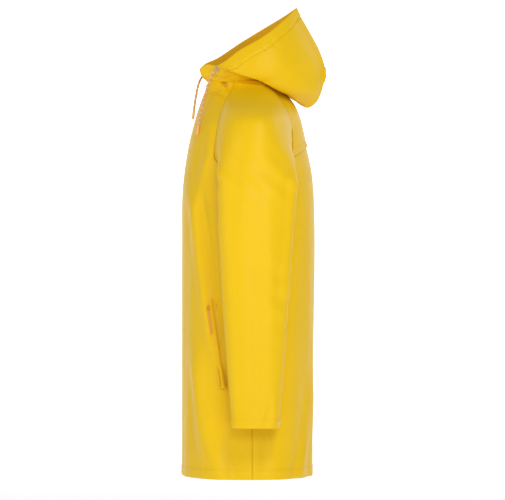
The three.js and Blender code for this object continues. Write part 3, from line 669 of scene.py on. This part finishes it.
def cut_height(theta):
    z = np.full(np.shape(theta), float(UNDERARM))
    for _ in range(4):
        z = ARM_PIVOT_Z - np.sqrt(ARM_CUT ** 2 - (arm_point(theta, z)[..., 1] - ARM_PIVOT_Y) ** 2)
    return z


def cap_point(u, v):
    """The raglan top, from the cut (v = 0) to the neck, front seam (u = 0) to back seam."""
    spread = lerp(-CAP_CORNER, math.pi + CAP_CORNER, u)
    on_sleeve = arm_point(spread, cut_height(spread))
    z = lerp(UNDERARM + 12.0, float(BODY_TOP), v ** 0.8)
    front = body_point(theta_at_y(front_seam_line(z), z), z)
    behind = body_point(theta_at_y(back_seam_line(z), z), z)
    at = v * (len(SHOULDER_LINE) - 1)
    top = np.stack([np.interp(at, np.arange(len(SHOULDER_LINE)), SHOULDER_LINE[:, i]) for i in range(3)], -1)
    foot = np.where(u[..., None] < 0.5, front, behind)
    turn = np.where(u < 0.5, u, 1 - u) * math.pi
    lift, flat = np.sin(turn), np.cos(turn)
    rib = np.stack([lerp(foot[..., 0], top[..., 0], lift), lerp(top[..., 1], foot[..., 1], flat),
                    lerp(foot[..., 2], top[..., 2], lift)], -1)
    theta = lerp(CAP_CORNER, math.pi - CAP_CORNER, u)
    share = smooth(v / (CAP_BOTTOM + 0.2 * np.sin(theta)), 0, 1)
    return lerp(on_sleeve, rib, share[..., None])


CAP_JOIN = CAP_BOTTOM + 0.2 * math.sin(CAP_CORNER)
CAP_COLUMNS = np.linspace(0, 1, 81)
CAP_ROWS = np.concatenate([np.linspace(0, CAP_JOIN, 25)[:-1], np.linspace(CAP_JOIN, 1, 66)])
INNER_STEPS = 24
spread_angles = lerp(-CAP_CORNER, math.pi + CAP_CORNER, CAP_COLUMNS)
inner_angles = np.linspace(math.pi + CAP_CORNER, 2 * math.pi - CAP_CORNER, INNER_STEPS + 1)
RING_ANGLES = np.concatenate([spread_angles, inner_angles[1:]])
SLEEVE_ROWS = np.concatenate([np.linspace(0, 0.05, 12)[:-1], np.linspace(0.05, 1, 120)])


def sleeve_surface(theta, v):
    return arm_point(theta, lerp(float(CUFF_Z), cut_height(theta), v))


def join_height(v):
    return lerp(UNDERARM + 12.0, float(BODY_TOP), v ** 0.8)


def gusset_surface():
    """Fills the armpit, from the sleeve's inner edge to the lower armhole seam of the body."""
    drop = CAP_ROWS[:25][::-1]
    zero, one = np.zeros_like(drop), np.ones_like(drop)
    arc = arm_point(inner_angles[::-1], cut_height(inner_angles[::-1]))
    outer = np.vstack([cap_point(zero, drop), arc[1:-1], cap_point(one, drop[::-1])])
    z = join_height(drop)
    dip = np.linspace(0, 1, INNER_STEPS + 1)[1:-1]
    under = lerp(front_seam_line(702.0), back_seam_line(702.0), dip)
    low = 702 - 12 * np.sin(math.pi * dip)
    inner = np.vstack([
        body_point(theta_at_y(front_seam_line(z), z), z), body_point(theta_at_y(under, low), low),
        body_point(theta_at_y(back_seam_line(z[::-1]), z[::-1]), z[::-1])])
    t = np.linspace(0, 1, 9)[:, None, None]
    sheet = lerp(outer[None], inner[None], t)
    sheet[..., 2] -= 6 * np.sin(math.pi * t[..., 0])
    return sheet[::-1]


def mirror(grid, sign):
    grid = np.array(grid, float)
    if sign < 0:
        grid[..., 0] *= -1
        grid = grid[:, ::-1]
    return grid


SLEEVE_FOLDS = [
    ([(62, 100), (57, 260), (52, 480), (48, 640)], 15, 2.6), ([(18, 100), (20, 300), (16, 520)], 13, -2.4),
    ([(-24, 110), (-32, 300), (-40, 560)], 11, 1.8), ([(88, 430), (104, 560), (112, 680)], 12, 2.2),
    ([(70, 420), (84, 560), (92, 690)], 11, -2.6), ([(-34, 540), (-28, 640), (-20, 730)], 11, -2.2),
    ([(36, 118), (44, 142), (52, 168)], 6, -2.6), ([(56, 118), (60, 150), (60, 176)], 6, 2.2)]


def sleeve_folds(points, u, v, grid):
    out = np.zeros(len(points))
    outside = smooth(np.abs(points[:, 0]), 262, 300)
    for route, width, height in SLEEVE_FOLDS:
        out += crease(points, route, width, height, 40) * outside
    y, z = points[:, 1], points[:, 2]
    elbow = np.exp(-((z - 415) / 95) ** 2)
    out += 1.3 * elbow * np.sin(z * 0.11 + y * 0.05) * smooth(y, 10, 70)
    armpit = np.exp(-((z - 690) / 60) ** 2)
    out += 1.5 * armpit * np.sin(0.11 * z + 0.09 * y)
    return out


for sign, side in ((1, "left"), (-1, "right")):
    sleeve = Cloth()
    angles, turns = np.meshgrid(RING_ANGLES, SLEEVE_ROWS)
    ring = mirror(sleeve_surface(angles, turns), sign)
    marks = np.linspace(0, 1, len(RING_ANGLES))
    sleeve.grids.append((ring, marks, SLEEVE_ROWS))
    uu, vv = np.meshgrid(CAP_COLUMNS, CAP_ROWS)
    sleeve.grids.append((mirror(cap_point(uu, vv), sign), CAP_COLUMNS, CAP_ROWS))
    gusset = gusset_surface()
    sleeve.grids.append((mirror(gusset, sign), np.linspace(0, 1, gusset.shape[1]), np.linspace(0, 1, 9)))
    sleeve.weld()
    sleeve.relax(lambda p: np.exp(-((p[:, 2] - 672) / 62) ** 2), 90)
    sleeve.shape(sleeve_folds)
    sleeve.shape(lambda p, u, v, g: np.where(
        g == 0, hem(p[:, 2] - CUFF_Z, CUFF_STITCH, 0.8), np.where(
            g == 1, 2.1 * (smooth(u, 0.0, 0.006) * (1 - smooth(u, 0.018, 0.034))
                           + smooth(1 - u, 0.0, 0.006) * (1 - smooth(1 - u, 0.018, 0.034)))
            * smooth(v, 0.30, 0.40) + seam_dip(u, 0.006) * smooth(v, 0.25, 0.35), 0)))
    piece = sleeve.make(f"{side}_sleeve_cloth")
    cuff_rise = CUFF_STITCH / 520
    seams = [sleeve.line(0, np.linspace(0.002, 0.998, 200), cuff_rise)]
    seams += [sleeve.line(1, across, np.linspace(CAP_JOIN + 0.02, 0.985, 160)) for across in (0.03, 0.97)]
    sewing = stitches(f"{side}_sleeve_stitching", seams)
    for thing in (piece, sewing):
        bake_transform(thing)
    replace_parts(piece, f"{side}_sleeve", f"{side}_shoulder", f"{side}_cuff_facing")
    sewn(sleeve, length=sleeve.lengths[0] + sleeve.lengths[1])

# ---- hood ------------------------------------------------------------------------------
HOOD_FULLNESS = 34
CROWN = [(0, 117, 1087), (0, 130, 1060), (0, 151, 1022), (0, 169, 988), (0, 180, 956), (0, 184, 926)]
NAPE = [(0, 76, 921), (0, 96, 893), (0, 120, 862), (0, 142, 852), (0, 164, 868), (0, 184, 926)]
NECK = [(24, -103, 922), (62, -62, 921), (80, -12, 920), (80, 30, 920), (52, 62, 921), (0, 76, 921)]
FACE = {
    "left": [(24, -103, 922), (27, -109, 940), (46, -96, 950), (68, -66, 949), (90, -16, 982), (90, 36, 1012),
             (56, 84, 1052), (0, 117, 1087)],
    "right": [(24, -103, 922), (27, -109, 941), (44, -99, 956), (64, -70, 971), (86, -16, 1008), (84, 36, 1040),
              (48, 84, 1067), (0, 117, 1087)]}
FINE = 400
STEPS = np.linspace(0, 1, FINE)


def edge_curve(points):
    """A centripetal curve stepped as its own parameter runs, matching the frame's hood."""
    p = np.asarray(points, float)
    p = np.vstack([2 * p[0] - p[1], p, 2 * p[-1] - p[-2]])
    spans = len(points) - 1
    out = []
    for t in STEPS:
        at = min(t * spans, spans - 1e-9)
        i = int(at)
        a, b, c, d = p[i:i + 4]
        k = np.cumsum([0] + [np.linalg.norm(q - r) ** 0.5 for q, r in ((b, a), (c, b), (d, c))])
        w = k[1] + (at - i) * (k[2] - k[1])

        def mix(f, g, m, n):
            return (k[n] - w) / (k[n] - k[m]) * f + (w - k[m]) / (k[n] - k[m]) * g

        ab, bc, cd = mix(a, b, 0, 1), mix(b, c, 1, 2), mix(c, d, 2, 3)
        out.append(mix(mix(ab, bc, 0, 2), mix(bc, cd, 1, 3), 1, 2))
    return np.array(out)


def along(curve, t):
    return np.stack([np.interp(t, STEPS, curve[:, i]) for i in range(3)], -1)


crown_line, nape_line, neck_line = edge_curve(CROWN), edge_curve(NAPE), edge_curve(NECK)
TUNNEL_STITCH = 0.15


def hood_surface(side):
    face_line = edge_curve(FACE[side])

    def surface(s, t):
        a, b, c, d = face_line[0], neck_line[-1], face_line[-1], crown_line[-1]
        p = (along(face_line, t) * (1 - s)[..., None] + along(nape_line, t) * s[..., None]
             + along(neck_line, s) * (1 - t)[..., None] + along(crown_line, s) * t[..., None])
        p -= (a * ((1 - s) * (1 - t))[..., None] + b * (s * (1 - t))[..., None]
              + c * ((1 - s) * t)[..., None] + d * (s * t)[..., None])
        p[..., 0] += HOOD_FULLNESS * 16 * s * (1 - s) * t * (1 - t)
        p[..., 0] = np.maximum(p[..., 0], 0)
        return p
    return surface


def hood_folds(points, u, v, grid):
    s = np.where(grid < 2, u, 0.5)
    s = np.where(points[:, 0] < 0, 1 - s, s)
    t = v
    body = (grid < 2).astype(float)
    waves = np.sin(2 * math.pi * t * 13 + 3 * np.sin(9 * t)) + 0.5 * np.sin(2 * math.pi * t * 29 + 2)
    pull = 0.4 + 0.9 * np.exp(-((t - 0.42) / 0.16) ** 2)
    out = 1.1 * pull * np.exp(-((s - TUNNEL_STITCH) / 0.06) ** 2) * waves * smooth(t, 0.05, 0.2) * body
    out -= 1.5 * np.exp(-((s - TUNNEL_STITCH) / 0.008) ** 2) * body
    out += 1.0 * (1 - smooth(s, TUNNEL_STITCH - 0.03, TUNNEL_STITCH)) * body
    neck = 1 - smooth(t, 0.0, 0.34)
    out += 2.8 * neck * np.sin(s * 34 + 4 * t) * smooth(0.46 - s, 0, 0.2) * body
    out += 3.0 * np.exp(-((s - 0.55 - 0.3 * t) / 0.10) ** 2) * np.sin(math.pi * t) * body
    out -= 2.6 * np.exp(-((s - 0.36 - 0.25 * t) / 0.07) ** 2) * np.sin(math.pi * t) * body
    out += 2.4 * np.exp(-((s - 0.86) / 0.07) ** 2) * np.sin(17 * t + 1) * body
    out -= 1.0 * np.exp(-(points[:, 0] / 1.6) ** 2) * smooth(points[:, 1], 90, 120)
    out += 0.9 * np.exp(-((np.abs(points[:, 0]) - 5) / 2.2) ** 2) * smooth(points[:, 1], 90, 120)
    return out


hood = Cloth()
S = np.linspace(0, 1, 100)
T = np.linspace(0, 1, 110)
for sign, side in ((1, "left"), (-1, "right")):
    hood.patch(side_sign(hood_surface(side), sign), S, T)
# A collar strip joins the hood's neck edge to the body's neck seam.
for sign in (1, -1):
    def collar(u, v):
        top = along(neck_line, u)
        angle = np.arctan2(top[..., 0], -(top[..., 1] + 16))
        low = body_point(np.clip(angle, 0.12, math.pi), np.full(angle.shape, 909.0))
        return lerp(low, top, v[..., None])
    hood.patch(side_sign(collar, sign), S, np.linspace(0, 1, 7))
hood.weld()
hood.shape(hood_folds)
piece = hood.make("hood_cloth")
runs = []
for k, flip in ((0, False), (1, True)):
    def at(s):
        return 1 - s if flip else s
    runs.append(hood.line(k, at(TUNNEL_STITCH), np.linspace(0.03, 0.97, 260)))
    runs.append(hood.line(k, at(0.012), np.linspace(0.03, 0.97, 260)))
    runs.append(hood.line(k, at(np.linspace(0.03, 0.96, 200)), 0.955))
    runs.append(hood.line(k, at(np.linspace(0.03, 0.96, 200)), 0.035))
sewing = stitches("hood_stitching", runs)
for thing in (piece, sewing):
    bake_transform(thing)
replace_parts(piece, "hood_left", "hood_right", "hood_tunnel_left", "hood_tunnel_right", "chin_left", "chin_right")
sewn(hood, width=2 * hood.widths[0])


# ---- front zip -------------------------------------------------------------------------
ZIP_BOTTOM = 8
ZIP_TOP = 911
ZIP_HEIGHTS = np.linspace(ZIP_BOTTOM, ZIP_TOP, 260)
TOOTH_PITCH = 2.6


def front_centre(z):
    rise = np.maximum(z - ZIP_ARC_START, 0)
    return FRONT_Y + ZIP_ARC_RADIUS - np.sqrt(ZIP_ARC_RADIUS ** 2 - rise ** 2)


def box_at(centre, half, axes, chamfer=0.3):
    """A small block with its eight corners cut, as points, with an empty list of faces."""
    points, faces = [], []
    for sx in (-1, 1):
        for sy in (-1, 1):
            for sz in (-1, 1):
                for keep in range(3):
                    reach = [half[k] * s - (0 if k == keep else chamfer * s) for k, s in enumerate((sx, sy, sz))]
                    points.append(centre + sum(r * a for r, a in zip(reach, axes)))
    return points, faces


def blocks(name, spots, half, paint, chamfer=0.3):
    """Many small cut-cornered blocks in one object; spots holds (centre, axes)."""
    import bmesh
    mesh = bmesh.new()
    for centre, axes in spots:
        points, _ = box_at(np.asarray(centre, float), half, axes, chamfer)
        found = [mesh.verts.new(tuple(metres(p))) for p in points]
        bmesh.ops.convex_hull(mesh, input=found)
    data = bpy.data.meshes.new(name)
    mesh.to_mesh(data)
    mesh.free()
    data.materials.append(paint)
    obj = bpy.data.objects.new(name, data)
    bpy.context.scene.collection.objects.link(obj)
    return obj


spots = []
for i, z in enumerate(np.arange(ZIP_BOTTOM + 2, ZIP_TOP - 2, TOOTH_PITCH / 2)):
    y = float(front_centre(z))
    up = unit(np.array([0, float(front_centre(z + 0.5)) - y, 0.5]))
    out = unit(np.cross([1, 0, 0], up))
    x = 0.75 if i % 2 else -0.75
    spots.append((np.array([x, y + 3.3, z]), (np.array([1, 0, 0]), out, up)))
teeth = blocks("zip_teeth_row", spots, (1.35, 1.0, 0.5), moulded, 0.25)
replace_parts(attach(teeth, "coat"), "zip_teeth")


def strip_surface(low, high, inset):
    def surface(u, v):
        x = lerp(low, high, u)
        theta = np.sign(x) * theta_at_x(np.abs(x), v)
        p = body_point(theta, v)
        p[..., 0] = x
        p[..., 1] += inset
        return p
    return surface


for sign, side in ((1, "left"), (-1, "right")):
    tape = Cloth()
    low, high = (2.1, 22.0) if sign > 0 else (-22.0, -2.1)
    tape.patch(strip_surface(low, high, 3.4), np.linspace(0, 1, 8), ZIP_HEIGHTS)
    tape.weld()
    tape.shape(lambda p, u, v, g: 0.12 * np.sin(p[:, 2] * 2.1))
    piece = tape.make(f"{side}_zip_tape_woven", [woven, woven], 0.7)
    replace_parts(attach(piece, "coat"), f"{side}_zip_tape")
    sewn(tape)
flap = Cloth()
flap.patch(strip_surface(-23.5, 23.5, 6.2), np.linspace(0, 1, 14), ZIP_HEIGHTS)
flap.weld()
flap.shape(lambda p, u, v, g: 0.5 * np.sin(p[:, 2] * 0.03) * np.sin(math.pi * u))
piece = flap.make("wind_flap_cloth", [coated, knit], 1.0)
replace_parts(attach(piece, "coat"), "wind_flap")
sewn(flap)

# ---- pockets ---------------------------------------------------------------------------
def on_body(y, z):
    y, z = np.broadcast_arrays(np.asarray(y, float), np.asarray(z, float))
    return body_point(theta_at_y(y, z), z)


top_point, bottom_point = on_body(-87, 402), on_body(-58, 212)
mouth_length = np.linalg.norm(top_point - bottom_point)
mouth_up = unit(top_point - bottom_point)
middle_y, middle_z = -72.5, 307.0
mouth_centre = on_body(middle_y, middle_z)
e = 0.5
out_raw = np.cross(on_body(middle_y + e, middle_z) - on_body(middle_y - e, middle_z),
                   on_body(middle_y, middle_z + e) - on_body(middle_y, middle_z - e))
mouth_out = unit(out_raw - mouth_up * np.dot(out_raw, mouth_up))
mouth_across = np.cross(mouth_up, mouth_out)
WELT_RISE = 1.1


def welt_surface(u, v):
    across = lerp(-10.0, 10.0, u)
    length = lerp(-mouth_length / 2 - 7, mouth_length / 2 + 7, v)
    ridge = 1.5 * (np.exp(-((across - 3) / 2.0) ** 2) + np.exp(-((across + 3) / 2.0) ** 2)) - 2.4 * np.exp(-(across / 1.3) ** 2)
    round_off = np.minimum(smooth(u, 0, 0.12), smooth(1 - u, 0, 0.12)) * np.minimum(smooth(v, 0, 0.02), smooth(1 - v, 0, 0.02))
    rise = (WELT_RISE + 1.3 + ridge) * round_off - 1.6 * (1 - round_off)
    return (mouth_centre + across[..., None] * mouth_across + length[..., None] * mouth_up
            + rise[..., None] * mouth_out)


for sign, side in ((1, "left"), (-1, "right")):
    welt = Cloth()
    k = welt.patch(side_sign(welt_surface, sign), np.linspace(0, 1, 40), np.linspace(0, 1, 160))
    welt.weld()
    piece = welt.make(f"{side}_pocket_welt_cloth")
    ends = np.linspace(0.25, 0.75, 30)
    rows = [welt.line(k, a, np.linspace(0.025, 0.975, 160)) for a in (0.14, 0.86)]
    rows += [welt.line(k, ends, level) for level in (0.03, 0.036, 0.964, 0.97)]
    sewing = stitches(f"{side}_pocket_stitching", rows)
    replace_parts(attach(piece, "coat"), f"{side}_pocket_welt")
    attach(sewing, "coat")
    sewn(welt)
    turn = np.array([sign, 1, 1])
    rise = WELT_RISE + 0.6
    spots = [((mouth_centre + mouth_up * s + mouth_out * rise + mouth_across * (0.8 if i % 2 else -0.8)) * turn,
              (mouth_across * turn, mouth_out * turn, mouth_up * turn))
             for i, s in enumerate(np.arange(-mouth_length / 2 + 1, mouth_length / 2 - 1, 1.2))]
    teeth = blocks(f"{side}_pocket_teeth_row", spots, (0.9, 0.65, 0.42), moulded, 0.2)
    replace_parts(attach(teeth, "coat"), f"{side}_pocket_zip")

    bag = Cloth()

    def bag_surface(u, v):
        return body_point(lerp(0.62, 1.12, u), lerp(196.0, 398.0, v))
    bag.patch(side_sign(bag_surface, sign), np.linspace(0, 1, 40), np.linspace(0, 1, 50))
    bag.weld()
    bag.shape(lambda p, u, v, g: -5.0 - 2.0 * np.sin(math.pi * u) * np.sin(math.pi * v) + 0.5 * np.sin(p[:, 2] * 0.08))
    piece = bag.make(f"{side}_pocket_bag_cloth", [knit, knit], 1.4)
    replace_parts(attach(piece, "coat"), f"{side}_pocket_bag")
    sewn(bag)

# ---- inside the neck -------------------------------------------------------------------
for name, (low, high), lift, slot_name in (("neck_tape", (897.0, 913.0), -3.6, "fabric_inside"),):
    tape = Cloth()

    def tape_surface(u, v):
        z = lerp(low, high, v)
        start = theta_at_x(27.0, z)
        return body_point(lerp(start, 2 * math.pi - start, u), z)
    tape.patch(tape_surface, np.linspace(0, 1, 120), np.linspace(0, 1, 8))
    tape.weld()
    tape.shape(lambda p, u, v, g: lift + 0.1 * np.sin(np.arctan2(p[:, 1], p[:, 0]) * 240))
    piece = tape.make("neck_tape_woven", [woven, woven], 0.7)
    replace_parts(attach(piece, "coat"), name)
    sewn(tape)

LOOP_HALF, LOOP_FOOT, LOOP_BOW, LOOP_BOTTOM, LOOP_HEIGHT = 30, 59.4, 12, 901, 8


def loop_surface(u, v):
    x = lerp(LOOP_HALF, -LOOP_HALF, u)
    y = LOOP_FOOT - LOOP_BOW * np.cos(math.pi * x / (2 * LOOP_HALF)) ** 2
    return np.stack([x, y - 0.4 * (1 - (2 * v - 1) ** 2), lerp(float(LOOP_BOTTOM), float(LOOP_BOTTOM + LOOP_HEIGHT), v)], -1)


loop = Cloth()
loop.patch(loop_surface, np.linspace(1, 0, 60), np.linspace(0, 1, 7))
loop.weld()
piece = loop.make("hanger_loop_woven", [woven, woven], 1.4)
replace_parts(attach(piece, "coat"), "hanger_loop")

# ---- pieces carried over ---------------------------------------------------------------
puller_cord = material("puller_cord", (0.90, 0.36, 0.06), 0.62, sheen=0.3, grain=1900.0, bump=0.0005)
for names, paint in (
        (["left_cuff_snap_cap", "right_cuff_snap_cap", "left_cuff_snap_stud", "right_cuff_snap_stud", "eyelet_left",
          "eyelet_right", "zip_slider", "zip_bottom_box"], steel),
        (["zip_pull", "left_pocket_slider", "right_pocket_slider"], moulded),
        (["left_pocket_puller", "right_pocket_puller"], puller_cord)):
    for name in names:
        node = frame["nodes"][name]
        node.data.materials.clear()
        node.data.materials.append(paint)

# ---- floor and light -------------------------------------------------------------------
white = bpy.data.materials.new("floor")
white.use_nodes = True
white.node_tree.nodes["Principled BSDF"].inputs["Base Color"].default_value = (0.98, 0.98, 0.98, 1)
white.node_tree.nodes["Principled BSDF"].inputs["Roughness"].default_value = 0.9
white.node_tree.nodes["Principled BSDF"].inputs["Emission Color"].default_value = (1, 1, 1, 1)
white.node_tree.nodes["Principled BSDF"].inputs["Emission Strength"].default_value = 0.3
floor_mesh = bpy.data.meshes.new("floor")
FLOOR = cad_box[0][2] - 0.3
floor_mesh.from_pydata([(-30, -30, FLOOR), (30, -30, FLOOR), (30, 30, FLOOR), (-30, 30, FLOOR)], [], [(0, 1, 2, 3)])
floor_mesh.materials.append(white)
floor = bpy.data.objects.new("floor", floor_mesh)
bpy.context.scene.collection.objects.link(floor)
world = bpy.data.worlds.new("studio")
bpy.context.scene.world = world
world.use_nodes = True
world.node_tree.nodes["Background"].inputs["Color"].default_value = (1, 1, 1, 1)
world.node_tree.nodes["Background"].inputs["Strength"].default_value = 0.36


def softbox(name, place, target, size, power):
    light = bpy.data.lights.new(name, "AREA")
    light.shape = "SQUARE"
    light.size = size
    light.energy = power
    obj = bpy.data.objects.new(name, light)
    obj.location = place
    direction = np.array(target) - np.array(place)
    from mathutils import Vector
    obj.rotation_euler = Vector(direction).to_track_quat("-Z", "Y").to_euler()
    bpy.context.scene.collection.objects.link(obj)


softbox("key", (3.4, 0.8, 2.3), (0.2, 0.05, -0.05), 0.9, 46)
softbox("side", (4.6, 0.15, 0.5), (0.2, 0.05, -0.25), 0.9, 38)
softbox("front", (1.6, -3.2, 0.6), (0, 0, -0.3), 1.4, 15)
softbox("behind", (-2.2, 3.0, 1.6), (0, 0, -0.3), 1.5, 18)

# A white wall beyond the coat, lit by itself.
BACKDROP = -7
wall_paint = bpy.data.materials.new("backdrop")
wall_paint.use_nodes = True
glow = wall_paint.node_tree.nodes["Principled BSDF"]
glow.inputs["Emission Color"].default_value = (1, 1, 1, 1)
glow.inputs["Emission Strength"].default_value = 1.0
wall_mesh = bpy.data.meshes.new("backdrop")
wall_mesh.from_pydata([(BACKDROP, -5, FLOOR - 1), (BACKDROP, 5, FLOOR - 1), (BACKDROP, 5, 4), (BACKDROP, -5, 4)],
                      [], [(0, 1, 2, 3)])
wall_mesh.materials.append(wall_paint)
wall = bpy.data.objects.new("backdrop", wall_mesh)
bpy.context.scene.collection.objects.link(wall)
